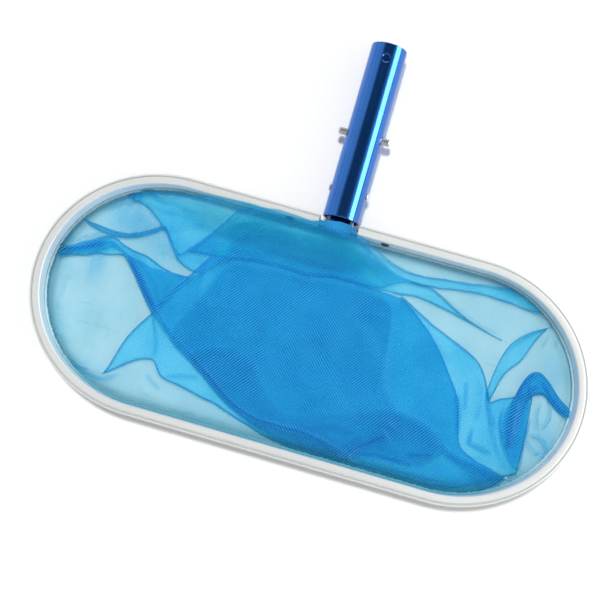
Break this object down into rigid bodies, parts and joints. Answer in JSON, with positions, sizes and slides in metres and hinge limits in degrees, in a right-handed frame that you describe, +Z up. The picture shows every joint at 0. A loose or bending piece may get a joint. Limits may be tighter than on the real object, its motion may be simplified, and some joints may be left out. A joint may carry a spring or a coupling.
{
  "type": "leaf skimmer net",
  "caption": "Flat leaf skimmer net: a stadium-shaped aluminium rail with a fine mesh bag, on a blue tube socket with spring buttons for a telescopic pole.",
  "frame": {"origin": "centre of the whole skimmer's box in plan, on the surface it lies on", "axes": "+X along the net's long side, +Y from the net towards the pole, +Z up, away from the surface"},
  "size_m": [0.466, 0.3534, 0.0305],
  "materials": {
    "rail_aluminium": "satin, bright anodised",
    "blue_tube": "bright blue anodised, polished",
    "bright_steel": "bright plated",
    "spring_steel": "brushed",
    "net_mesh": "fine woven mesh, see-through",
    "net_binding": "woven tape",
    "cord_plastic": "matte"
  },
  "bodies": {
    "frame": {"frame_rail": "rail_aluminium", "net_cord": "cord_plastic", "net_hem": "net_binding", "net_bag": "net_mesh", "tang_left": "bright_steel", "tang_right": "bright_steel", "rail_rivet_left": "bright_steel", "rail_rivet_right": "bright_steel", "handle_tube": "blue_tube", "tube_rivet_left": "bright_steel", "tube_rivet_right": "bright_steel", "clip_bow": "spring_steel"},
    "left_clip": {"clip_arm_left": "spring_steel", "button_left": "bright_steel"},
    "right_clip": {"clip_arm_right": "spring_steel", "button_right": "bright_steel"}
  },
  "joints": [
    {"name": "left_button_press", "type": "hinge", "parent": "frame", "child": "left_clip", "pos_m": [-0.01265, 0.06115, 0.01525], "axis": [0, 0, 1], "range_deg": [-11.3, 0], "stiffness_Nm_per_rad": 0.35},
    {"name": "right_button_press", "type": "hinge", "parent": "frame", "child": "right_clip", "pos_m": [0.01265, 0.06115, 0.01525], "axis": [0, 0, 1], "range_deg": [0, 11.3], "stiffness_Nm_per_rad": 0.35}
  ]
}
